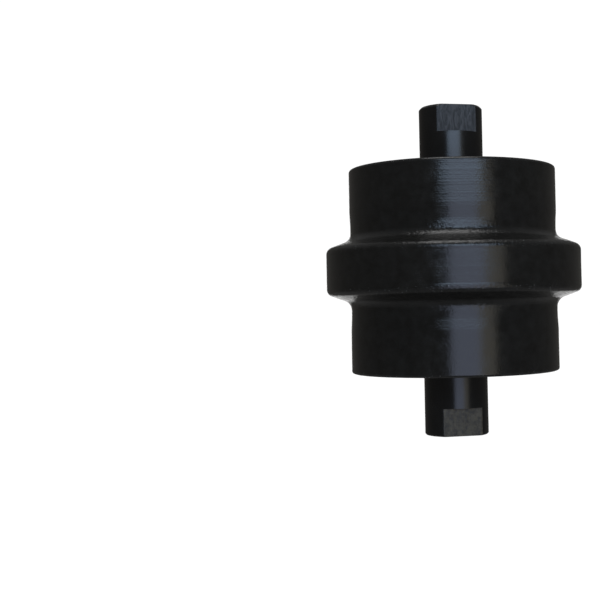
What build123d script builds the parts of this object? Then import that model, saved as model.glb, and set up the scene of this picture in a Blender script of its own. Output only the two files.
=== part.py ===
from build123d import *
from math import radians, tan
import os

# Track roller: a forged shell with a centre flange that turns on a fixed shaft.
# Millimetres. +Z runs along the shaft, the origin is at the middle of the shell, and the shaft's flats
# face -Y and +Y. Heights below are distances from the middle, and each end is a mirror of the other.

# --- shell, outside ---
tread_diameter = 114.0
flange_height = 13.0         # from the tread to the rim
body_length = 111.5
flange_width = 24.6          # at the rim, between the flank planes before rounding
flank_angle = 20.0           # how far each flank leans off the radial plane, in degrees
rim_radius = 4.0
root_radius = 6.0
relief_depth = 0.4           # shallow turned relief beside the flange
relief_length = 9.0
relief_runout = 3.0
shell_edge_radius = 1.6

# --- shaft ---
stub_length = 34.25          # how far the shaft stands out of each end of the shell
shaft_diameter = 35.0
shaft_end_chamfer = 1.0
flat_depth = 4.0
flat_length = 15.0
journal_step = 1.5           # how far the journals stand out of the shaft's ends, on the radius
waist_step = 1.0             # how far the waist between the journals lies below them, on the radius
waist_to_bush = 2.4

# --- tapped end holes and oil drilling ---
tapped_hole_diameter = 14.0  # wall of an M16 thread
tapped_hole_depth = 24.0
tapped_hole_chamfer = 1.5
drill_point_angle = 118.0
plug_seat_depth = 6.0
plug_seat_diameter = 13.0
plug_thread_diameter = 10.0
plug_thread_length = 9.0
plug_clearance = 0.05
plug_head_height = 4.0
plug_head_clearance = 0.2
plug_head_chamfer = 0.5
plug_washer_thickness = 1.0
plug_hex = 5.0
plug_hex_depth = 3.4
oil_hole_diameter = 6.0

# --- bushes ---
journal_clearance = 0.05
bush_lining_wall = 1.45
bush_backing_wall = 2.0
bush_length = 24.0
bush_flange_width = 4.5      # beyond the shell's bore
bush_backing_flange = 2.0
bush_lining_flange = 1.0
oil_grooves = 4
oil_groove_radius = 1.2
chamber_step = 1.5           # how far the oil chamber is wider than the bush's bore, on the radius
bush_overtravel = 1.0        # bore left beyond the bush's inner end

# --- end collars and face seals ---
collar_recess = 1.75         # the collar's outer face lies this far inside the shell's end
collar_disc_thickness = 3.1
collar_hub_wall = 9.0
collar_rim_wall = 6.9
collar_edge_chamfer = 1.0
labyrinth_gap = 0.5
end_play = 0.3
seal_housing_depth = 7.2
seal_ramp_rise = 0.9
seal_lip = 1.0
seal_face_gap = 0.1
seal_mouth_step = 0.2        # how far each housing's mouth lies behind its sealing face
hub_to_seal_ring = 2.0
seal_ring_wall = 5.5
seal_ring_groove_depth = 1.7
seal_ring_slope = 0.6
seal_ring_back_gap = 1.6
toric_cord = 5.0
toric_room = 0.3
toric_back_gap = 0.3
toric_lip_gap = 0.1

# --- shaft O-rings and retaining rings ---
o_ring_groove_depth = 2.1
o_ring_groove_width = 3.4
o_ring_to_collar_face = 6.0
o_ring_clearance = 0.01
retaining_ring_thickness = 1.5
retaining_groove_width = 1.6
retaining_groove_depth = 1.0
retaining_ring_width = 3.7
retaining_lug_radius = 2.8
retaining_lug_hole = 1.25
retaining_lug_angle = 17.0

# --- radii that follow from them, from the shaft outwards ---
shaft_radius = shaft_diameter / 2
groove_radius = shaft_radius - retaining_groove_depth
journal_radius = shaft_radius + journal_step
lining_inner_radius = journal_radius + journal_clearance
lining_outer_radius = lining_inner_radius + bush_lining_wall
bush_bore_radius = lining_outer_radius + bush_backing_wall
bush_flange_radius = bush_bore_radius + bush_flange_width
hub_radius = shaft_radius + collar_hub_wall
seal_ring_inside = hub_radius + hub_to_seal_ring
seal_ring_outside = seal_ring_inside + seal_ring_wall
seal_groove_radius = seal_ring_outside - seal_ring_groove_depth
housing_mouth_radius = seal_groove_radius + toric_cord + toric_room
housing_floor_radius = housing_mouth_radius - seal_ramp_rise
collar_radius = housing_mouth_radius + collar_rim_wall
counterbore_radius = collar_radius + labyrinth_gap
tread_radius = tread_diameter / 2
flange_radius = tread_radius + flange_height
tapped_radius = tapped_hole_diameter / 2

# --- heights that follow from them, from the ends inwards ---
body_half = body_length / 2
shaft_half = body_half + stub_length
tapped_floor = shaft_half - tapped_hole_depth
plug_seat = tapped_floor - plug_seat_depth
plug_thread_end = plug_seat - plug_thread_length
collar_outer = body_half - collar_recess
o_ring_height = collar_outer - o_ring_to_collar_face
cup_floor = collar_outer - collar_disc_thickness
stator_face = cup_floor - seal_housing_depth
rotor_face = stator_face - seal_face_gap
counterbore_floor = rotor_face - seal_mouth_step
collar_rim_start = stator_face + seal_mouth_step
seal_floor = rotor_face - seal_housing_depth
lining_face = seal_floor + bush_backing_flange + bush_lining_flange
shaft_shoulder = lining_face + end_play
bush_inner = seal_floor - bush_length
waist_half = bush_inner - waist_to_bush

# --- the face seal's section, as heights from its sealing face ---
toric_height = seal_housing_depth - toric_cord / 2 - toric_back_gap
seal_ring_lip = toric_height - toric_cord / 2 - toric_lip_gap
seal_ring_length = seal_housing_depth - seal_ring_back_gap
ramp_mouth = seal_mouth_step + seal_lip
ramp_share = (toric_height - ramp_mouth) / (seal_housing_depth - ramp_mouth)
groove_share = (toric_height - seal_ring_lip) / (seal_ring_length - seal_ring_lip)
toric_outside = housing_mouth_radius - seal_ramp_rise * ramp_share
toric_inside = seal_groove_radius - seal_ring_slope * groove_share
toric_ring_radius = (toric_inside + toric_outside) / 2

ends = {"upper": 1, "lower": -1}

os.makedirs("parts", exist_ok=True)


def at_end(side, *points):
    """Radius and height pairs, with the heights taken up or down from the middle."""
    return [(radius, side * height) for radius, height in points]


def keep(piece, name):
    """Labels a finished sub-part and writes it to its own file."""
    piece.part.label = name
    export_step(piece.part, f"parts/{name}.step")


# --- roller shell: the outline of both halves is one closed loop, turned about the shaft's axis ---
flank_rise = (flange_radius - tread_radius + relief_depth) * tan(radians(flank_angle))
root_height = flange_width / 2 + flank_rise
relief_end = root_height + relief_length
shell_outside = [
    (flange_radius, flange_width / 2),
    (tread_radius - relief_depth, root_height),
    (tread_radius - relief_depth, relief_end),
    (tread_radius, relief_end + relief_runout),
    (tread_radius, body_half),
]
outside_radii = [rim_radius, root_radius, 0, 0, shell_edge_radius]
shell_inside = [
    (counterbore_radius + collar_edge_chamfer, body_half),
    (counterbore_radius, body_half - collar_edge_chamfer),
    (counterbore_radius, counterbore_floor),
    (housing_mouth_radius, counterbore_floor),
    (housing_mouth_radius, counterbore_floor - seal_lip),
    (housing_floor_radius, seal_floor),
    (bush_bore_radius, seal_floor),
    (bush_bore_radius, bush_inner - bush_overtravel),
    (bush_bore_radius + chamber_step, bush_inner - bush_overtravel - chamber_step),
]
inside_radii = [0] * len(shell_inside)
half_outline = shell_outside + shell_inside
half_radii = outside_radii + inside_radii
shell_outline = at_end(1, *half_outline) + at_end(-1, *half_outline[::-1])
with BuildPart() as roller_shell:
    with BuildSketch(Plane.XZ):
        with BuildLine():
            FilletPolyline(*shell_outline, radius=half_radii + half_radii[::-1], close=True)
        make_face()
    revolve(axis=Axis.Z)
keep(roller_shell, "roller_shell")

# --- shaft: turned profile, then flats, tapped ends and the oil drilling from the upper end ---
half_shaft = [
    (shaft_radius - shaft_end_chamfer, shaft_half),
    (shaft_radius, shaft_half - shaft_end_chamfer),
    (shaft_radius, collar_outer + retaining_groove_width),
    (groove_radius, collar_outer + retaining_groove_width),
    (groove_radius, collar_outer),
    (shaft_radius, collar_outer),
    (shaft_radius, shaft_shoulder),
    (journal_radius, shaft_shoulder),
    (journal_radius, waist_half),
    (journal_radius - waist_step, waist_half),
]
shaft_outline = half_shaft + at_end(-1, *half_shaft[::-1])
with BuildPart() as axle_shaft:
    with BuildSketch(Plane.XZ):
        with BuildLine():
            Polyline((0, shaft_half), *shaft_outline, (0, -shaft_half), close=True)
        make_face()
    revolve(axis=Axis.Z)
    for side in ends.values():
        with BuildSketch(Plane.XY.offset(side * shaft_half)):
            Circle(shaft_diameter)
            Rectangle(2 * shaft_diameter, shaft_diameter - 2 * flat_depth, mode=Mode.SUBTRACT)
        extrude(amount=-side * flat_length, mode=Mode.SUBTRACT)
        with BuildSketch(Plane.XZ):
            with BuildLine():
                Polyline(
                    *at_end(
                        side,
                        (0, shaft_half),
                        (tapped_radius + tapped_hole_chamfer, shaft_half),
                        (tapped_radius, shaft_half - tapped_hole_chamfer),
                        (tapped_radius, tapped_floor),
                        (0, tapped_floor - tapped_radius / tan(radians(drill_point_angle / 2))),
                    ),
                    close=True,
                )
            make_face()
        revolve(axis=Axis.Z, mode=Mode.SUBTRACT)
    with BuildSketch(Plane.XY.offset(plug_seat)):
        Circle(plug_seat_diameter / 2)
    extrude(amount=plug_seat_depth, mode=Mode.SUBTRACT)
    with BuildSketch(Plane.XY.offset(plug_thread_end)):
        Circle(plug_thread_diameter / 2)
    extrude(amount=plug_thread_length, mode=Mode.SUBTRACT)
    with BuildSketch(Plane.XY):
        Circle(oil_hole_diameter / 2)
    extrude(amount=plug_thread_end, mode=Mode.SUBTRACT)
    with BuildSketch(Plane.YZ):
        Circle(oil_hole_diameter / 2)
    extrude(amount=shaft_radius, both=True, mode=Mode.SUBTRACT)
keep(axle_shaft, "axle_shaft")

# --- oil plug and its washer, on the seat below the upper tapped hole ---
plug_head_radius = plug_seat_diameter / 2 - plug_head_clearance
plug_stem_radius = plug_thread_diameter / 2 - plug_clearance
head_floor = plug_seat + plug_washer_thickness
with BuildPart() as oil_fill_plug:
    with BuildSketch(Plane.XY.offset(plug_thread_end + plug_clearance)):
        Circle(plug_stem_radius)
    extrude(amount=head_floor - plug_thread_end - plug_clearance)
    with BuildSketch(Plane.XY.offset(head_floor)):
        Circle(plug_head_radius)
    extrude(amount=plug_head_height)
    top_edge = oil_fill_plug.edges().filter_by(GeomType.CIRCLE).sort_by(Axis.Z)[-1]
    chamfer(top_edge, plug_head_chamfer)
    with BuildSketch(Plane.XY.offset(head_floor + plug_head_height)):
        RegularPolygon(plug_hex / 2, 6, major_radius=False)
    extrude(amount=-plug_hex_depth, mode=Mode.SUBTRACT)
keep(oil_fill_plug, "oil_fill_plug")

with BuildPart() as oil_plug_washer:
    with BuildSketch(Plane.XY.offset(plug_seat)):
        Circle(plug_head_radius)
        Circle(plug_stem_radius + plug_clearance, mode=Mode.SUBTRACT)
    extrude(amount=plug_washer_thickness)
keep(oil_plug_washer, "oil_plug_washer")

for end, side in ends.items():
    # bush: steel backing pressed into the shell, bronze lining pressed into the backing
    with BuildPart() as bush_backing:
        with BuildSketch(Plane.XZ):
            with BuildLine():
                Polyline(
                    *at_end(
                        side,
                        (lining_outer_radius, bush_inner),
                        (bush_bore_radius, bush_inner),
                        (bush_bore_radius, seal_floor),
                        (bush_flange_radius, seal_floor),
                        (bush_flange_radius, seal_floor + bush_backing_flange),
                        (lining_outer_radius, seal_floor + bush_backing_flange),
                    ),
                    close=True,
                )
            make_face()
        revolve(axis=Axis.Z)
    keep(bush_backing, f"{end}_bush_backing")

    with BuildPart() as bush_lining:
        with BuildSketch(Plane.XZ):
            with BuildLine():
                Polyline(
                    *at_end(
                        side,
                        (lining_inner_radius, bush_inner),
                        (lining_outer_radius, bush_inner),
                        (lining_outer_radius, seal_floor + bush_backing_flange),
                        (bush_flange_radius, seal_floor + bush_backing_flange),
                        (bush_flange_radius, lining_face),
                        (lining_inner_radius, lining_face),
                    ),
                    close=True,
                )
            make_face()
        revolve(axis=Axis.Z)
        with BuildSketch(Plane.XY.offset(side * bush_inner)):
            with PolarLocations(lining_inner_radius, oil_grooves):
                Circle(oil_groove_radius)
        extrude(amount=side * (lining_face - bush_inner), mode=Mode.SUBTRACT)
    keep(bush_lining, f"{end}_bush_lining")

    # end collar: fixed to the shaft, closes the shell's end and houses the fixed half of the face seal
    with BuildPart() as end_collar:
        with BuildSketch(Plane.XZ):
            with BuildLine():
                Polyline(
                    *at_end(
                        side,
                        (shaft_radius, shaft_shoulder),
                        (hub_radius, shaft_shoulder),
                        (hub_radius, cup_floor),
                        (housing_floor_radius, cup_floor),
                        (housing_mouth_radius, collar_rim_start + seal_lip),
                        (housing_mouth_radius, collar_rim_start),
                        (collar_radius, collar_rim_start),
                        (collar_radius, collar_outer - collar_edge_chamfer),
                        (collar_radius - collar_edge_chamfer, collar_outer),
                        (shaft_radius, collar_outer),
                        (shaft_radius, o_ring_height + o_ring_groove_width / 2),
                        (shaft_radius + o_ring_groove_depth, o_ring_height + o_ring_groove_width / 2),
                        (shaft_radius + o_ring_groove_depth, o_ring_height - o_ring_groove_width / 2),
                        (shaft_radius, o_ring_height - o_ring_groove_width / 2),
                    ),
                    close=True,
                )
            make_face()
        revolve(axis=Axis.Z)
    keep(end_collar, f"{end}_end_collar")

    # face seal: two like metal rings face to face, each carried by a rubber toric ring
    for half, face, away in (("rotor", rotor_face, -1), ("stator", stator_face, 1)):
        with BuildPart() as seal_ring:
            with BuildSketch(Plane.XZ):
                with BuildLine():
                    Polyline(
                        *at_end(
                            side,
                            (seal_ring_inside, face),
                            (seal_ring_outside, face),
                            (seal_ring_outside, face + away * seal_ring_lip),
                            (seal_groove_radius, face + away * seal_ring_lip),
                            (seal_groove_radius - seal_ring_slope, face + away * seal_ring_length),
                            (seal_ring_inside, face + away * seal_ring_length),
                        ),
                        close=True,
                    )
                make_face()
            revolve(axis=Axis.Z)
        keep(seal_ring, f"{end}_{half}_seal_ring")

        with BuildPart() as toric:
            with BuildSketch(Plane.XZ):
                with Locations((toric_ring_radius, side * (face + away * toric_height))):
                    Circle(toric_cord / 2)
            revolve(axis=Axis.Z)
        keep(toric, f"{end}_{half}_toric")

    # O-ring between the collar and the shaft
    with BuildPart() as shaft_o_ring:
        with BuildSketch(Plane.XZ):
            with Locations((shaft_radius + o_ring_groove_depth / 2, side * o_ring_height)):
                Circle(o_ring_groove_depth / 2 - o_ring_clearance)
        revolve(axis=Axis.Z)
    keep(shaft_o_ring, f"{end}_shaft_o_ring")

    # retaining ring: sprung into the shaft's groove, against the collar's outer face, with its gap at +X
    ring_outer_radius = groove_radius + retaining_ring_width
    lug_centre = ring_outer_radius - retaining_lug_hole
    gap_edge = shaft_diameter * tan(radians(retaining_lug_angle / 2))
    with BuildPart() as retaining_ring:
        with BuildSketch(Plane.XY.offset(side * collar_outer)):
            Circle(ring_outer_radius)
            with PolarLocations(lug_centre, 2, -retaining_lug_angle, 2 * retaining_lug_angle, endpoint=True):
                Circle(retaining_lug_radius)
            Circle(groove_radius, mode=Mode.SUBTRACT)
            with BuildLine():
                Polyline((0, 0), (shaft_diameter, gap_edge), (shaft_diameter, -gap_edge), close=True)
            make_face(mode=Mode.SUBTRACT)
            with PolarLocations(lug_centre, 2, -retaining_lug_angle, 2 * retaining_lug_angle, endpoint=True):
                Circle(retaining_lug_hole, mode=Mode.SUBTRACT)
        extrude(amount=side * retaining_ring_thickness)
    keep(retaining_ring, f"{end}_retaining_ring")
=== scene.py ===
# %% [markdown]
# # A track roller in the studio
# A track roller carries a small excavator on its chain: a forged steel shell with a flange round
# its middle turns on a fixed shaft, and the shaft's two ends are held in the track frame. The
# fixed frame that is loaded here has every piece at its real size and place. This lesson gives the
# pieces that show a finer surface, gives every piece its own finish, and lights them.

# %% Load the fixed frame and note its box
import bpy
import math
import numpy as np
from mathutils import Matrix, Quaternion, Vector


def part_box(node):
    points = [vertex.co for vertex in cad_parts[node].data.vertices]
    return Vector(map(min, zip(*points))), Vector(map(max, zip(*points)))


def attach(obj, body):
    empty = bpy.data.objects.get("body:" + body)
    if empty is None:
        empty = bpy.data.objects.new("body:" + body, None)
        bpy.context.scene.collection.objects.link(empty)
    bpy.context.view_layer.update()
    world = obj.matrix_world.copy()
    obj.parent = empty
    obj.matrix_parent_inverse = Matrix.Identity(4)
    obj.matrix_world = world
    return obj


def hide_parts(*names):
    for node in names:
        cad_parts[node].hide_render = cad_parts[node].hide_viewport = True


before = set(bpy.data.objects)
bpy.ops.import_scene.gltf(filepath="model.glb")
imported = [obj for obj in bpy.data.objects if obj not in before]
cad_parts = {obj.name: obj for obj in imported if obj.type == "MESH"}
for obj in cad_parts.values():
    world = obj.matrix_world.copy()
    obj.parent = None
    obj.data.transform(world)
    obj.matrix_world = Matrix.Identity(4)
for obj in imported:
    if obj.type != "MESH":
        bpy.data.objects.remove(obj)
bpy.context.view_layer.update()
mm = 0.001
ends = {"upper": 1, "lower": -1}

# %% [markdown]
# ## The camera first
# The roller stands upright on the end of its shaft and is seen almost level, from a little below
# its middle, so the near edge of the shell hides the root of each shaft end. A long lens at a
# moderate distance keeps the outline nearly parallel. The camera turns a little aside, and shifts
# its picture a little more, so that the roller stands right of the middle without being stretched.

# %% Place the camera
camera_azimuth = math.radians(-15.0)
camera_elevation = math.radians(-1.75)
camera_distance = 0.6132
camera_aside = math.radians(1.736)
camera_roll = math.radians(-1.23)

toward_camera = Vector((
    math.sin(camera_azimuth) * math.cos(camera_elevation),
    -math.cos(camera_azimuth) * math.cos(camera_elevation),
    math.sin(camera_elevation),
))
camera_data = bpy.data.cameras.new("camera")
camera_data.sensor_width = 36.0
camera_data.lens = 66.51
camera_data.shift_x = -0.2
camera_data.shift_y = -0.0485
camera_data.clip_start = 0.01
camera = bpy.data.objects.new("camera", camera_data)
bpy.context.scene.collection.objects.link(camera)
camera.location = toward_camera * camera_distance
camera.rotation_mode = "QUATERNION"
camera.rotation_quaternion = (
    (-toward_camera).to_track_quat("-Z", "Y")
    @ Quaternion((0, 1, 0), camera_aside)
    @ Quaternion((0, 0, 1), camera_roll)
)
bpy.context.scene.camera = camera
print(f"lens {camera_data.lens:.1f} mm at {camera_distance:.3f} m")

# %% [markdown]
# ## From a section to a solid of revolution
# Nearly everything here was cut on a lathe, so nearly everything is a section turned about one
# axis. A modeller could spin a drawn line, but then each rounded corner is drawn by hand. Here a
# section is a short list of sharp corners and a radius for each, and one function rounds them all.
# The second function carries the section round the axis as one array of points, so the surface can
# also be pushed about with a formula.

# %% Round the corners of a section
def rounded(corners, radii, step, support=0.25 * mm, closed=True):
    """Points along a section whose corners are rounded, and how much of an outer edge each one is.

    At a corner whose sides meet at twice the angle h, an arc of radius r starts r / tan h from the
    corner, and its centre lies r / sin h from the corner on the line that halves the angle. Points
    on the arc turn evenly from one end to the other. Straight runs get a point each step, and one
    close to each arc, which keeps the shading of the flat stretch flat."""
    corners = np.array(corners, float)
    count = len(corners)
    pieces, edges = [], []
    for i in range(count):
        here = corners[i]
        inner = closed or 0 < i < count - 1
        radius = radii[i] if inner else 0.0
        if radius > 0:
            back = corners[i - 1] - here
            ahead = corners[(i + 1) % count] - here
            back_length, ahead_length = np.hypot(*back), np.hypot(*ahead)
            back, ahead = back / back_length, ahead / ahead_length
            half = math.acos(np.clip(back @ ahead, -1, 1)) / 2
            reach = min(radius / math.tan(half), 0.48 * back_length, 0.48 * ahead_length)
            radius = reach * math.tan(half)
            middle = (back + ahead) / np.hypot(*(back + ahead))
            centre = here + middle * radius / math.sin(half)
            sweep = math.pi - 2 * half
            parts = int(np.clip(math.ceil(sweep / 0.13), 3, 14))
            f = np.linspace(0, 1, parts + 1)[:, None]
            first, last = here + back * reach - centre, here + ahead * reach - centre
            blend = np.sin((1 - f) * sweep) * first + np.sin(f * sweep) * last
            arc = centre + blend / math.sin(sweep)
            outward = back[1] * ahead[0] - back[0] * ahead[1] > 0
            edge = np.full(len(arc), 1.0 if outward and sweep > 0.3 else 0.0)
        else:
            arc, edge = here[None, :], np.zeros(1)
        pieces.append(arc)
        edges.append(edge)
    points, marks = [], []
    for i in range(count):
        points.append(pieces[i])
        marks.append(edges[i])
        if not closed and i == count - 1:
            break
        start, stop = pieces[i][-1], pieces[(i + 1) % count][0]
        length = np.hypot(*(stop - start))
        stops = np.linspace(0, 1, max(1, math.ceil(length / step)) + 1)[1:-1]
        if length > 4 * support:
            near = support / length
            between = stops[(stops > 1.5 * near) & (stops < 1 - 1.5 * near)]
            stops = np.unique(np.concatenate([[near], between, [1 - near]]))
        if len(stops):
            points.append(start + (stop - start) * stops[:, None])
            marks.append(np.zeros(len(stops)))
    return np.concatenate(points), np.concatenate(marks)


# %% Carry a section round the axis
def angles_round(count, extra=()):
    """Even angles round a full turn, with extra ones put in where the surface has an edge along
    the axis."""
    even = np.linspace(-math.pi, math.pi, count, endpoint=False)
    return np.unique(np.round(np.concatenate([even, np.array(extra, float)]), 6))


def surface_mesh(name, points, closed_rows, marks=None):
    """A mesh from a grid of points, rows by columns; columns always close on themselves.

    With closed_rows the last row joins the first, as in a ring. Without it the first and last rows
    are drawn together to a point on the axis. Each face runs round first and then along the
    section, which makes the normals point out of a section that is drawn anticlockwise."""
    rows, columns = points.shape[:2]
    vertices = points.reshape(-1, 3)
    row = np.arange(rows if closed_rows else rows - 1)[:, None]
    column = np.arange(columns)[None, :]
    beside, above = (column + 1) % columns, (row + 1) % rows
    quads = np.stack([
        row * columns + column, row * columns + beside,
        above * columns + beside, above * columns + column,
    ], -1).reshape(-1, 4).tolist()
    triangles = []
    if not closed_rows:
        tips = points[[0, -1]].mean(axis=1)
        vertices = np.concatenate([vertices, tips])
        ring, following = np.arange(columns), (np.arange(columns) + 1) % columns
        first = np.stack([np.full(columns, rows * columns), following, ring], -1)
        last = (rows - 1) * columns
        final = np.stack([np.full(columns, rows * columns + 1), last + ring, last + following], -1)
        triangles = first.tolist() + final.tolist()
    mesh = bpy.data.meshes.new(name)
    mesh.from_pydata(vertices.tolist(), [], quads + triangles)
    mesh.polygons.foreach_set("use_smooth", np.ones(len(mesh.polygons), bool))
    for label, values in (marks or {}).items():
        flat = np.broadcast_to(values, (rows, columns)).reshape(-1)
        flat = np.concatenate([flat, np.zeros(len(vertices) - len(flat))]).astype(np.float32)
        mesh.attributes.new(label, "FLOAT", "POINT").data.foreach_set("value", flat)
    mesh.update()
    piece = bpy.data.objects.new(name, mesh)
    bpy.context.scene.collection.objects.link(piece)
    print(f"{name}: {len(vertices)} points, {len(quads) * 2 + len(triangles)} triangles")
    return piece


def around(radius, height, angle):
    """Points at a radius and height for each angle: x = r cos a, y = r sin a, z = h."""
    return np.stack(np.broadcast_arrays(radius * np.cos(angle), radius * np.sin(angle), height), -1)


# %% A slow unevenness for surfaces that no tool has made perfect
def unevenness(angle, height, seed, waves=14, most_round=9, wavelength=18 * mm):
    """Smooth bumps with no repeat: the mean of cosines that each go a whole number of times round
    and at their own rate along the axis, with seeded phases. It stays within about one either
    way."""
    random = np.random.default_rng(seed)
    turns = random.integers(0, most_round, waves)
    rates = random.normal(0, 1, waves) * math.tau / wavelength
    phases = random.uniform(0, math.tau, waves)
    total = sum(np.cos(n * angle + k * height + p) for n, k, p in zip(turns, rates, phases))
    return total / math.sqrt(waves)


# %% [markdown]
# ## The shell
# One forging: two treads that the chain's rails roll on, and between them the flange that keeps
# the chain in line. The treads and the rim are turned, so they are true, but the paint over them
# and the forged flanks are not quite. The outside follows the section of the fixed frame, with
# softer corners, and then gets a few hundredths of a millimetre of unevenness, so that a
# reflection's edge wavers as it does on a real casting. The bores inside are turned too and stay
# exact.

# %% The shell's section, outside and in
shell_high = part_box("roller_shell")[1]
body_half = shell_high.z
flange_radius = shell_high.x
tread_radius = 57.0 * mm
flange_half_width = 12.3 * mm
flank_lean = math.tan(math.radians(20.0))
relief_depth = 0.4 * mm
root_height = flange_half_width + (flange_radius - tread_radius + relief_depth) * flank_lean
relief_end = root_height + 8.0 * mm
collar_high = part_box("upper_end_collar")[1]
bush_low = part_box("upper_bush_backing")[0]
rotor_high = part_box("upper_rotor_seal_ring")[1]
counterbore_radius = collar_high.x + 0.5 * mm
counterbore_floor = rotor_high.z - 0.2 * mm
seal_floor = rotor_high.z - 7.2 * mm
housing_mouth_radius = 37.6 * mm
housing_floor_radius = housing_mouth_radius - 0.9 * mm
bush_bore_radius = 22.5 * mm
bore_end = bush_low.z - 1.0 * mm
chamber_step = 1.5 * mm

half_section = [
    (flange_radius, flange_half_width, 4.0 * mm),
    (tread_radius - relief_depth, root_height, 6.0 * mm),
    (tread_radius - relief_depth, relief_end, 60.0 * mm),
    (tread_radius, relief_end + 7.0 * mm, 60.0 * mm),
    (tread_radius, body_half, 1.6 * mm),
    (counterbore_radius + 1.0 * mm, body_half, 0.3 * mm),
    (counterbore_radius, body_half - 1.0 * mm, 0.3 * mm),
    (counterbore_radius, counterbore_floor, 0.4 * mm),
    (housing_mouth_radius, counterbore_floor, 0.3 * mm),
    (housing_mouth_radius, counterbore_floor - 1.0 * mm, 0.3 * mm),
    (housing_floor_radius, seal_floor, 0.5 * mm),
    (bush_bore_radius, seal_floor, 0.2 * mm),
    (bush_bore_radius, bore_end, 0.2 * mm),
    (bush_bore_radius + chamber_step, bore_end - chamber_step, 0.5 * mm),
]
shell_corners = [(r, z) for r, z, _ in half_section] + [(r, -z) for r, z, _ in half_section[::-1]]
shell_radii = [c for _, _, c in half_section] + [c for _, _, c in half_section[::-1]]
section, edge = rounded(shell_corners, shell_radii, step=1.3 * mm)
print(f"shell section: {len(section)} points, flange radius {flange_radius / mm:.1f} mm, "
      f"half length {body_half / mm:.2f} mm")

# %% The shell's surface
turned_swell = 0.025 * mm
forged_swell = 0.09 * mm
angle = angles_round(300)[None, :]
radius, height = section[:, :1], section[:, 1:]
outside = np.clip((radius - counterbore_radius - 2 * mm) / (4 * mm), 0, 1)
on_flank = np.exp(-(((np.abs(height) - root_height) / (5 * mm)) ** 2)) * outside
past_rim = np.clip((np.abs(height) - flange_half_width + 4 * mm) / (3 * mm), 0, 1)
before_tread = np.clip((relief_end - np.abs(height)) / (8 * mm), 0, 1)
swell = unevenness(angle, height, seed=3) * (turned_swell + forged_swell * on_flank) * outside
turned_edge = edge[:, None] * outside
shell = surface_mesh("shell", around(radius + swell, height, angle), True,
                     {"edge": turned_edge, "rough": past_rim * before_tread * outside})
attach(shell, "roller")
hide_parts("roller_shell")

# %% [markdown]
# ## The shaft
# The shaft is turned as well, but each end has two milled flats and a tapped hole, so its radius
# depends on the angle too. A flat that lies d from the axis is at radius d / cos a, where a is the
# angle from the flat's normal. The surface takes the smaller of that and the turned radius. A soft
# minimum in place of a hard one breaks the edge by a few tenths of a millimetre, as a file and a
# coat of paint do.

# %% The shaft's section
shaft_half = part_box("axle_shaft")[1].z
shaft_radius = 17.5 * mm
journal_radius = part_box("axle_shaft")[1].x
flat_distance = shaft_radius - 4.0 * mm
flat_start = shaft_half - 15.0 * mm
end_chamfers = {"upper": 1.3 * mm, "lower": 0.7 * mm}
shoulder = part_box("upper_end_collar")[0].z
groove_floor_radius = shaft_radius - 1.0 * mm
groove_low = collar_high.z
groove_high = groove_low + 1.6 * mm
waist_half = bush_low.z - 2.4 * mm
thread_radius = 7.0 * mm
thread_depth = 0.95 * mm
thread_pitch = 2.0 * mm
thread_floor = shaft_half - 24.0 * mm
mouth_radius = 8.5 * mm
plug_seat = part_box("oil_plug_washer")[0].z
plug_seat_radius = 6.5 * mm
plug_bore_radius = 5.0 * mm
plug_bore_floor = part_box("oil_fill_plug")[0].z - 0.05 * mm
oil_radius = 3.0 * mm
drill_point = thread_radius / math.tan(math.radians(59.0))

end_faces = {
    end: [(mouth_radius, shaft_half, 0.2 * mm), (shaft_radius - chamfer, shaft_half, 0.4 * mm),
          (shaft_radius, shaft_half - chamfer, 0.6 * mm)]
    for end, chamfer in end_chamfers.items()
}
half_shaft = [
    (shaft_radius, flat_start + 0.12 * mm, 0.0),
    (shaft_radius, flat_start - 0.12 * mm, 0.0),
    (shaft_radius, groove_high, 0.15 * mm),
    (groove_floor_radius, groove_high, 0.15 * mm),
    (groove_floor_radius, groove_low, 0.15 * mm),
    (shaft_radius, groove_low, 0.15 * mm),
    (shaft_radius, shoulder, 0.2 * mm),
    (journal_radius, shoulder, 0.3 * mm),
    (journal_radius, waist_half, 0.2 * mm),
    (journal_radius - 1.0 * mm, waist_half, 0.2 * mm),
]
lower_hole = [
    (0.2 * mm, -thread_floor + drill_point, 0.0),
    (thread_radius, -thread_floor, 0.2 * mm),
    (thread_radius, -shaft_half + 1.5 * mm, 0.0),
]
upper_hole = [
    (thread_radius, shaft_half - 1.5 * mm, 0.0),
    (thread_radius, thread_floor, 0.15 * mm),
    (plug_seat_radius, thread_floor, 0.1 * mm),
    (plug_seat_radius, plug_seat, 0.2 * mm),
    (plug_bore_radius, plug_seat, 0.2 * mm),
    (plug_bore_radius, plug_bore_floor, 0.2 * mm),
    (oil_radius, plug_bore_floor, 0.2 * mm),
    (oil_radius, -oil_radius, 0.5 * mm),
    (0.2 * mm, -oil_radius, 0.0),
]
lower_outside = [(r, -z, c) for r, z, c in end_faces["lower"] + half_shaft]
upper_outside = (end_faces["upper"] + half_shaft)[::-1]
shaft_path = lower_hole + lower_outside + upper_outside + upper_hole
shaft_section, shaft_edge = rounded(
    [(r, z) for r, z, _ in shaft_path], [c for _, _, c in shaft_path],
    step=2.6 * mm, support=0.2 * mm, closed=False)


# %% Closer rows where the thread runs
def with_more_rows(points, marks, needed, step):
    """Adds evenly spaced points between neighbours that both need them, so that no gap exceeds the
    step."""
    new_points, new_marks = [points[:1]], [marks[:1]]
    for i in range(1, len(points)):
        gap = np.hypot(*(points[i] - points[i - 1]))
        parts = math.ceil(gap / step) if needed[i] and needed[i - 1] else 1
        f = np.linspace(0, 1, parts + 1)[1:, None]
        new_points.append(points[i - 1] + (points[i] - points[i - 1]) * f)
        new_marks.append(np.full(parts, marks[i]))
    return np.concatenate(new_points), np.concatenate(new_marks)


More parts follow.
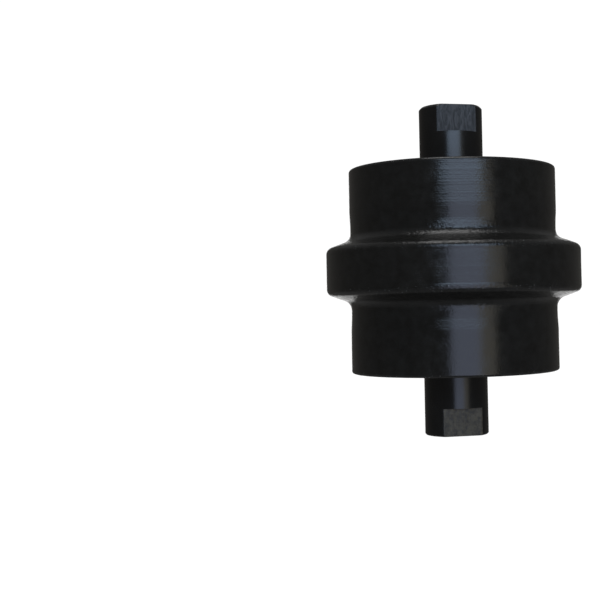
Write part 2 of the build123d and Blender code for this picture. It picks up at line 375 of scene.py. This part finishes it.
along = np.abs(shaft_section[:, 1])
in_hole = (along > thread_floor) & (shaft_section[:, 0] > 0.99 * thread_radius) \
    & (shaft_section[:, 0] < mouth_radius)
shaft_section, shaft_edge = with_more_rows(shaft_section, shaft_edge, in_hole, thread_pitch / 7)
print(f"shaft section: {len(shaft_section)} points")

# %% [markdown]
# The thread is a real groove, not a picture of one. A point's place along the thread is its height
# in pitches less its angle in turns. That makes one right-hand helix at either end, because
# turning a screw thread upside down doesn't change its hand. The countersink at the mouth is wider
# than the thread, so the surface takes the larger of the two there, and the thread dies away
# before the bottom of the hole, where the tap stopped.

# %% The shaft's surface
def soft_minimum(a, b, blend):
    """Half the sum less half the root of the squared difference plus the squared blend: smooth
    where a = b."""
    return (a + b) / 2 - np.sqrt((a - b) ** 2 + blend ** 2) / 2


def smooth_step(x):
    """0 below 0, 1 above 1, and 3 x squared less 2 x cubed between."""
    x = np.clip(x, 0, 1)
    return x * x * (3 - 2 * x)


shaft_swell = 0.012 * mm
flat_edge = math.acos(flat_distance / shaft_radius)
near_edges = [
    side * math.pi / 2 + turn * flat_edge + offset
    for side in (-1, 1) for turn in (-1, 1) for offset in np.radians([-0.9, -0.4, 0.0, 0.4, 0.9])
]
angle = angles_round(324, near_edges)[None, :]
radius, height = shaft_section[:, :1], shaft_section[:, 1:]
along = np.abs(height)
round_place = np.abs(np.sin(angle))
flat_radius = flat_distance / np.maximum(round_place, 0.2)
cut = smooth_step((along - (flat_start - 0.12 * mm)) / (0.24 * mm)) * (radius > mouth_radius)
with_flat = radius + (soft_minimum(radius, flat_radius, 0.35 * mm) - radius) * cut
on_flat = cut * smooth_step((radius - flat_radius) / (0.3 * mm))
phase = np.mod(height / thread_pitch - angle / math.tau, 1.0)
ridge = np.clip(1.7 * (1 - np.abs(2 * phase - 1)) - 0.25, 0, 1)
tapped = smooth_step((along - thread_floor - 1.5 * mm) / (3 * mm)) \
    * ((radius > 0.99 * thread_radius) & (radius < mouth_radius))
thread_wall = thread_radius + thread_depth * ridge * tapped
threaded = np.where(tapped > 0, np.maximum(with_flat, thread_wall), with_flat)
swell = unevenness(angle, height, seed=11, wavelength=14 * mm) * shaft_swell
swell = swell * (radius > mouth_radius)
shaft = surface_mesh("shaft", around(threaded + swell, height, angle), False,
                     {"edge": shaft_edge[:, None] * (radius > mouth_radius), "flat": on_flat})
shaft.data.set_sharp_from_angle(angle=math.radians(38))
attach(shaft, "axle")
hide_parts("axle_shaft")

# %% [markdown]
# ## The end collars
# A collar is pressed over the shaft at each end and closes the shell's counterbore with half a
# millimetre to spare, so the shell can turn past it. It is one ring with a cup behind it for the
# stationary seal.

# %% Both collars
# Radius, height and rounding in mm: the outside, the outer face, the bore with the O-ring's
# groove, and the cup of the seal.
collar_section = [
    (44.5, 43.9, 0.4), (44.5, 53.0, 0.5), (43.5, 54.0, 0.5), (18.3, 54.0, 0.3), (17.5, 53.2, 0.2),
    (17.5, 49.7, 0.1), (19.6, 49.7, 0.3), (19.6, 46.3, 0.3), (17.5, 46.3, 0.1), (17.5, 39.7, 0.2),
    (26.5, 39.7, 0.4), (26.5, 50.9, 0.6), (36.7, 50.9, 0.6), (37.6, 43.9, 0.3),
]
for end, side in ends.items():
    corners = [(r * mm, side * z * mm) for r, z, _ in collar_section][::side]
    radii = [c * mm for _, _, c in collar_section][::side]
    section, edge = rounded(corners, radii, step=2.0 * mm)
    angle = angles_round(256)[None, :]
    collar = surface_mesh(f"{end}_collar", around(section[:, :1], section[:, 1:], angle), True,
                          {"edge": edge[:, None]})
    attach(collar, "axle")
    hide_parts(f"{end}_end_collar")

# %% [markdown]
# ## Effects that several finishes share
# Every finish here starts from the same few marks of making and use: fine rings left by a lathe
# tool, a slow cloudiness in paint or phosphate, and edges that are rubbed a little bright. Each is
# a node group, built once, and each material places it with its own values. A group could also
# hold the whole shader, but then every material that uses it would have to hide its constants
# inside, so the groups only put out masks and heights.

# %% Helpers for node groups
def new_group(name, inputs, outputs):
    """An empty node group with float inputs, given as name: default, and named float outputs."""
    group = bpy.data.node_groups.new(name, "ShaderNodeTree")
    for label, default in inputs.items():
        socket = group.interface.new_socket(
            name=label, in_out="INPUT", socket_type="NodeSocketFloat")
        socket.default_value = default
    for label in outputs:
        group.interface.new_socket(name=label, in_out="OUTPUT", socket_type="NodeSocketFloat")
    source = group.nodes.new("NodeGroupInput")
    result = group.nodes.new("NodeGroupOutput")
    return group, source, result


def math_node(tree, operation, a, b=None, c=None, clamp=False):
    """A Math node whose inputs are sockets or plain numbers; returns its output."""
    node = tree.nodes.new("ShaderNodeMath")
    node.operation = operation
    node.use_clamp = clamp
    for socket, value in zip(node.inputs, (a, b, c)):
        if value is None:
            continue
        if isinstance(value, (int, float)):
            socket.default_value = value
        else:
            tree.links.new(value, socket)
    return node.outputs[0]


def noise_node(tree, vector, scale, detail=3.0, rough=0.55, bend=0.0):
    """A noise texture's value, centred on a half. Its scale may be a socket; bend makes straight
    streaks wavy."""
    node = tree.nodes.new("ShaderNodeTexNoise")
    node.inputs["Detail"].default_value = detail
    node.inputs["Distortion"].default_value = bend
    node.inputs["Roughness"].default_value = rough
    tree.links.new(vector, node.inputs["Vector"])
    if isinstance(scale, (int, float)):
        node.inputs["Scale"].default_value = scale
    else:
        tree.links.new(scale, node.inputs["Scale"])
    return node.outputs["Fac"]


def place_on_object(tree, kind="Object"):
    """The point on the piece, in metres, as a vector and as its three parts. In the world, the
    kind Generated gives the direction of a ray instead."""
    where = tree.nodes.new("ShaderNodeTexCoord").outputs[kind]
    parts = tree.nodes.new("ShaderNodeSeparateXYZ")
    tree.links.new(where, parts.inputs[0])
    return where, parts.outputs


# %% Turning marks: noise read along the section only, so it makes rings
turning, source, result = new_group("turning marks", {"Fineness": 1800.0}, ["Height"])
_, (x, y, z) = place_on_object(turning)
from_axis = math_node(turning, "SQRT", math_node(
    turning, "ADD", math_node(turning, "MULTIPLY", x, x), math_node(turning, "MULTIPLY", y, y)))
ring_place = turning.nodes.new("ShaderNodeCombineXYZ")
turning.links.new(from_axis, ring_place.inputs[0])
turning.links.new(z, ring_place.inputs[2])
rings = noise_node(turning, ring_place.outputs[0], source.outputs["Fineness"], detail=2.0)
turning.links.new(rings, result.inputs["Height"])

# %% Clouding: a slow noise and a fine one, spread to fill 0 to 1
clouding, source, result = new_group(
    "clouding", {"Size": 70.0, "Grain": 1400.0}, ["Cloud", "Speck"])
where, _ = place_on_object(clouding)
slow = noise_node(clouding, where, source.outputs["Size"], detail=5.0, rough=0.6)
fine_grain = noise_node(clouding, where, source.outputs["Grain"], detail=2.0)
cloud = math_node(clouding, "MULTIPLY_ADD", slow, 2.4, -0.7, clamp=True)
clouding.links.new(cloud, result.inputs["Cloud"])
clouding.links.new(fine_grain, result.inputs["Speck"])

# %% Rubbed edges: where the mesh says an outer edge is, broken up by noise
rubbing, source, result = new_group("rubbed edges", {"Amount": 0.5, "Size": 1100.0}, ["Mask"])
where, _ = place_on_object(rubbing)
edge_place = rubbing.nodes.new("ShaderNodeAttribute")
edge_place.attribute_name = "edge"
patch = noise_node(rubbing, where, source.outputs["Size"], detail=4.0, rough=0.65)
lowered = math_node(rubbing, "MULTIPLY", source.outputs["Amount"], 0.6)
threshold = math_node(rubbing, "SUBTRACT", 1.0, lowered)
over = math_node(rubbing, "MULTIPLY", math_node(rubbing, "SUBTRACT", math_node(
    rubbing, "MULTIPLY_ADD", edge_place.outputs["Fac"], 0.35, patch), threshold), 9.0, clamp=True)
rubbed_mask = math_node(rubbing, "MULTIPLY", over, edge_place.outputs["Fac"])
rubbing.links.new(rubbed_mask, result.inputs["Mask"])
print("shared effects:", [g.name for g in bpy.data.node_groups])


# %% [markdown]
# ## Finishes
# The whole outside was dipped or sprayed in black after assembly. On machined steel such paint is
# thin and glossy enough to mirror a window, and it still shows the tool marks beneath it. One
# function builds any of the finishes, because they differ only in colour, metal, roughness and how
# strong each mark is.

# %% One function for every finish
def group_node(tree, group, **values):
    """Places a shared effect in a material, with its own values."""
    node = tree.nodes.new("ShaderNodeGroup")
    node.node_tree = group
    for label, value in values.items():
        node.inputs[label.capitalize()].default_value = value
    return node


def mix_colour(tree, factor, first, second):
    """A colour that goes from the first to the second as the factor goes from 0 to 1."""
    node = tree.nodes.new("ShaderNodeMix")
    node.data_type = "RGBA"
    tree.links.new(factor, node.inputs["Factor"])
    for socket, value in ((node.inputs[6], first), (node.inputs[7], second)):
        if isinstance(value, tuple):
            socket.default_value = (*value, 1.0)
        else:
            tree.links.new(value, socket)
    return node.outputs[2]


def finish(name, dark, light, metallic=0.0, rough=(0.3, 0.4), rings=0.0, fineness=1800.0,
           grain=0.0, cloud_size=70.0, grain_size=1400.0, rubbed=0.0, bare=(0.16, 0.16, 0.17),
           bump_depth=0.05):
    """A material that wanders between two colours and two roughnesses, with rings and grain as its
    relief."""
    material = bpy.data.materials.new(name)
    material.use_nodes = True
    tree = material.node_tree
    shader = tree.nodes["Principled BSDF"]
    shader.inputs["Metallic"].default_value = metallic
    clouds = group_node(tree, clouding, size=cloud_size, grain=grain_size)
    colour = mix_colour(tree, clouds.outputs["Cloud"], dark, light)
    low, high = rough
    roughness = math_node(tree, "MULTIPLY_ADD", clouds.outputs["Cloud"], high - low, low)
    if rubbed > 0:
        edges = group_node(tree, rubbing, amount=rubbed)
        colour = mix_colour(tree, edges.outputs["Mask"], colour, bare)
    tree.links.new(colour, shader.inputs["Base Color"])
    tree.links.new(roughness, shader.inputs["Roughness"])
    marks = group_node(tree, turning, fineness=fineness)
    height = math_node(tree, "ADD", math_node(tree, "MULTIPLY", marks.outputs["Height"], rings),
                       math_node(tree, "MULTIPLY", clouds.outputs["Speck"], grain))
    bump = tree.nodes.new("ShaderNodeBump")
    bump.inputs["Strength"].default_value = 1.0
    bump.inputs["Distance"].default_value = bump_depth * mm
    tree.links.new(height, bump.inputs["Height"])
    tree.links.new(bump.outputs["Normal"], shader.inputs["Normal"])
    return material, tree, shader, height, bump


def dress(material, *names):
    """Gives a finish to pieces made here or carried over from the frame."""
    for name in names:
        piece = bpy.data.objects.get(name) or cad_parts[name]
        piece.data.materials.clear()
        piece.data.materials.append(material)
    print(material.name, "on", ", ".join(names))


# %% [markdown]
# The treads and the rim are turned, but the flanks between them are as they were forged. The mesh
# says where, and there a coarser grain under the same paint breaks up the reflections.

# %% The black paint on the shell and the collars
worn_steel = (0.2, 0.2, 0.19)
shell_paint, tree, _, height, bump = finish(
    "black paint on turned steel", (0.0075, 0.0071, 0.0062), (0.0155, 0.0148, 0.0132),
    rough=(0.11, 0.23), rings=0.95, fineness=1500.0, grain=1.1, cloud_size=190.0,
    grain_size=1100.0, rubbed=0.035, bare=worn_steel)
where, _ = place_on_object(tree)
forged = tree.nodes.new("ShaderNodeAttribute")
forged.attribute_name = "rough"
forged_grain = noise_node(tree, where, 620.0, detail=3.0, rough=0.6)
on_forging = math_node(tree, "MULTIPLY", forged_grain, forged.outputs["Fac"])
tree.links.new(math_node(tree, "MULTIPLY_ADD", on_forging, 7.0, height), bump.inputs["Height"])
dress(shell_paint, "shell")
collar_paint, *_ = finish(
    "black paint on the collars", (0.0095, 0.0090, 0.0080), (0.0145, 0.0140, 0.0125),
    rough=(0.18, 0.26), rings=0.8, fineness=1200.0, grain=0.3, rubbed=0.05, bare=worn_steel)
dress(collar_paint, "upper_collar", "lower_collar")

# %% [markdown]
# The shaft has the same paint, thinner on its milled flats, where it lets some steel through and
# follows the long wavy marks that the cutter pulled. They run along the shaft, so their noise is
# stretched that way.

# %% The paint on the shaft
shaft_paint, tree, shader, height, bump = finish(
    "black paint on the shaft", (0.0070, 0.0067, 0.0062), (0.0115, 0.0110, 0.0102),
    rough=(0.20, 0.28), rings=0.45, fineness=1500.0, grain=0.3, rubbed=0.07, bare=worn_steel)
where, (_, _, z) = place_on_object(tree)
stretched = tree.nodes.new("ShaderNodeMapping")
stretched.inputs["Scale"].default_value = (430.0, 430.0, 110.0)
tree.links.new(where, stretched.inputs["Vector"])
pulled = noise_node(tree, stretched.outputs[0], 1.0, detail=3.0, rough=0.6, bend=1.6)
blotched = noise_node(tree, where, 420.0, detail=4.0, rough=0.65)
milled = tree.nodes.new("ShaderNodeAttribute")
milled.attribute_name = "flat"
on_flats = math_node(tree, "MULTIPLY", pulled, milled.outputs["Fac"])
tree.links.new(math_node(tree, "MULTIPLY_ADD", on_flats, 3.5, height), bump.inputs["Height"])
painted = shader.inputs["Base Color"].links[0].from_socket
streaks = math_node(tree, "MULTIPLY_ADD", pulled, 6.0, -2.5, clamp=True)
blotches = math_node(tree, "MULTIPLY_ADD", blotched, 4.5, -1.75, clamp=True)
thin_paint = mix_colour(tree, streaks, (0.001, 0.0012, 0.0018), (0.050, 0.051, 0.053))
rusty = mix_colour(tree, blotches, (0.018, 0.0135, 0.0065), (0.078, 0.064, 0.038))
below_middle = math_node(tree, "LESS_THAN", z, 0.0)
thin_paint = mix_colour(tree, below_middle, thin_paint, rusty)
colour = mix_colour(tree, milled.outputs["Fac"], painted, thin_paint)
tree.links.new(colour, shader.inputs["Base Color"])
smooth_paint = shader.inputs["Roughness"].links[0].from_socket
matt = math_node(tree, "MULTIPLY_ADD", milled.outputs["Fac"], 0.24, smooth_paint)
tree.links.new(matt, shader.inputs["Roughness"])
dress(shaft_paint, "shaft")

# %% [markdown]
# Inside, nothing is painted. The bushes are steel backed with a bronze lining that runs on the
# shaft, the seal rings are a hard cast alloy lapped to a satin, and the rings that press them
# together are soft black rubber.

# %% The finishes inside
steel, *_ = finish(
    "turned steel of the bush backs", (0.36, 0.36, 0.37), (0.46, 0.46, 0.46), metallic=1.0,
    rough=(0.28, 0.42), rings=0.8, grain=0.1)
bronze, *_ = finish(
    "bronze of the linings", (0.42, 0.25, 0.10), (0.56, 0.36, 0.16), metallic=1.0,
    rough=(0.3, 0.45), rings=0.7, grain=0.1)
seal_metal, *_ = finish(
    "lapped seal rings", (0.42, 0.41, 0.40), (0.55, 0.54, 0.53), metallic=1.0,
    rough=(0.18, 0.3), rings=0.3, fineness=3000.0, grain=0.1)
rubber, *_ = finish(
    "seal rubber", (0.014, 0.014, 0.014), (0.024, 0.024, 0.024), rough=(0.5, 0.7), grain=0.5)
for end in ends:
    dress(steel, f"{end}_bush_backing")
    dress(bronze, f"{end}_bush_lining")
    dress(seal_metal, f"{end}_rotor_seal_ring", f"{end}_stator_seal_ring")
    dress(rubber, f"{end}_rotor_toric", f"{end}_stator_toric", f"{end}_shaft_o_ring")

# %% The small metal parts
spring_steel, *_ = finish(
    "phosphated spring steel", (0.018, 0.018, 0.019), (0.04, 0.04, 0.042), metallic=0.4,
    rough=(0.35, 0.5), grain=0.4)
plug_zinc, *_ = finish(
    "zinc on the plug", (0.42, 0.43, 0.44), (0.56, 0.56, 0.54), metallic=1.0,
    rough=(0.25, 0.42), grain=0.2)
copper, *_ = finish(
    "copper of the washer", (0.55, 0.26, 0.15), (0.72, 0.38, 0.24), metallic=1.0,
    rough=(0.25, 0.4), grain=0.2)
dress(spring_steel, "upper_retaining_ring", "lower_retaining_ring")
dress(plug_zinc, "oil_fill_plug")
dress(copper, "oil_plug_washer")

# %% [markdown]
# ## Light
# Black paint shows very little of its own colour: what is seen in it is the room. So the light
# here is mostly a matter of what the paint has to mirror. A cool panel right of the camera stands
# for a window, brighter towards the sky, and a warm one beside it for the wall that the window
# lights. Together they leave a band with a sharp edge down every turned surface. A ceiling panel
# draws the roots of the flange.

# %% A panel or lamp aimed at the roller
def panel(name, azimuth, elevation, distance, width, tall, radiance, colour=(1.0, 1.0, 1.0)):
    """A rectangular light at an azimuth and elevation from the roller, aimed at it, with the
    brightness that its face shows: power = pi times its area times that brightness."""
    data = bpy.data.lights.new(name, "AREA")
    data.shape = "RECTANGLE"
    data.size, data.size_y = width, tall
    data.energy = math.pi * width * tall * radiance
    data.color = colour
    lamp = bpy.data.objects.new(name, data)
    bpy.context.scene.collection.objects.link(lamp)
    a, e = math.radians(azimuth), math.radians(elevation)
    direction = Vector((math.sin(a) * math.cos(e), -math.cos(a) * math.cos(e), math.sin(e)))
    lamp.location = direction * distance
    lamp.rotation_euler = lamp.location.to_track_quat("Z", "Y").to_euler()
    lamp.visible_camera = False


panel("window", azimuth=-3.5, elevation=-13.0, distance=1.6, width=0.92, tall=1.28, radiance=1.75,
      colour=(0.65, 0.74, 1.0))
panel("window top", azimuth=-4.5, elevation=17.7, distance=1.6, width=1.35, tall=0.50, radiance=3.6,
      colour=(0.58, 0.76, 1.0))
panel("wall beside the window", azimuth=20.5, elevation=-13.0, distance=1.6, width=0.48, tall=1.28,
      radiance=0.85, colour=(1.0, 0.94, 0.80))
panel("ceiling", azimuth=-15.0, elevation=78.0, distance=1.5, width=0.9, tall=0.9, radiance=3.0)
panel("behind", azimuth=165.0, elevation=-3.0, distance=1.6, width=0.80, tall=0.80, radiance=1.2)

# %% [markdown]
# The world is white only to the camera. Every other ray finds a room that is dim at the height of
# the eye and paler towards the floor and the ceiling, so that paint seen from higher up has a pale
# floor to mirror. The floor only has to stand in for a white sheet: it is bright enough to merge
# with the white behind it, it isn't mirrored in the paint, and from below it is clear.

# %% The world
world = bpy.data.worlds.new("room")
bpy.context.scene.world = world
world.use_nodes = True
tree = world.node_tree
tree.nodes.clear()
seen = tree.nodes.new("ShaderNodeLightPath").outputs["Is Camera Ray"]
_, (_, _, z) = place_on_object(tree, "Generated")
away_from_level = math_node(tree, "ABSOLUTE", z)
paler = math_node(tree, "MULTIPLY_ADD", away_from_level, 3.2, -0.75, clamp=True)
room = tree.nodes.new("ShaderNodeBackground")
room_colour = mix_colour(tree, paler, (0.078, 0.075, 0.070), (0.15, 0.15, 0.15))
tree.links.new(room_colour, room.inputs["Color"])
white = tree.nodes.new("ShaderNodeBackground")
white.inputs["Color"].default_value = (1.0, 1.0, 1.0, 1.0)
white.inputs["Strength"].default_value = 1.05
choice = tree.nodes.new("ShaderNodeMixShader")
output = tree.nodes.new("ShaderNodeOutputWorld")
tree.links.new(seen, choice.inputs[0])
tree.links.new(room.outputs[0], choice.inputs[1])
tree.links.new(white.outputs[0], choice.inputs[2])
tree.links.new(choice.outputs[0], output.inputs["Surface"])

# %% A pale floor under the shaft's end
floor_height = -shaft_half - 0.02 * mm
floor_rim = around(np.array(4.0), floor_height, angles_round(96))
floor_mesh = bpy.data.meshes.new("floor")
floor_mesh.from_pydata(floor_rim.tolist(), [], [list(range(len(floor_rim)))])
floor = bpy.data.objects.new("floor", floor_mesh)
bpy.context.scene.collection.objects.link(floor)
floor_finish = bpy.data.materials.new("pale floor")
floor_finish.use_nodes = True
tree = floor_finish.node_tree
shader = tree.nodes["Principled BSDF"]
shader.inputs["Base Color"].default_value = (0.2, 0.2, 0.2, 1.0)
shader.inputs["Roughness"].default_value = 0.9
shader.inputs["Specular IOR Level"].default_value = 0.0
shader.inputs["Emission Color"].default_value = (1.0, 1.0, 1.0, 1.0)
seen = tree.nodes.new("ShaderNodeLightPath").outputs["Is Camera Ray"]
glow = math_node(tree, "MULTIPLY_ADD", seen, 0.92, 0.08)
tree.links.new(glow, shader.inputs["Emission Strength"])
clear = tree.nodes.new("ShaderNodeBsdfTransparent")
either_side = tree.nodes.new("ShaderNodeMixShader")
tree.links.new(tree.nodes.new("ShaderNodeNewGeometry").outputs["Backfacing"], either_side.inputs[0])
tree.links.new(shader.outputs[0], either_side.inputs[1])
tree.links.new(clear.outputs[0], either_side.inputs[2])
tree.links.new(either_side.outputs[0], tree.nodes["Material Output"].inputs["Surface"])
floor.data.materials.append(floor_finish)
floor.visible_glossy = False
floor.visible_shadow = False

# %% Show the picture's numbers as they are
bpy.context.scene.view_settings.view_transform = "Standard"
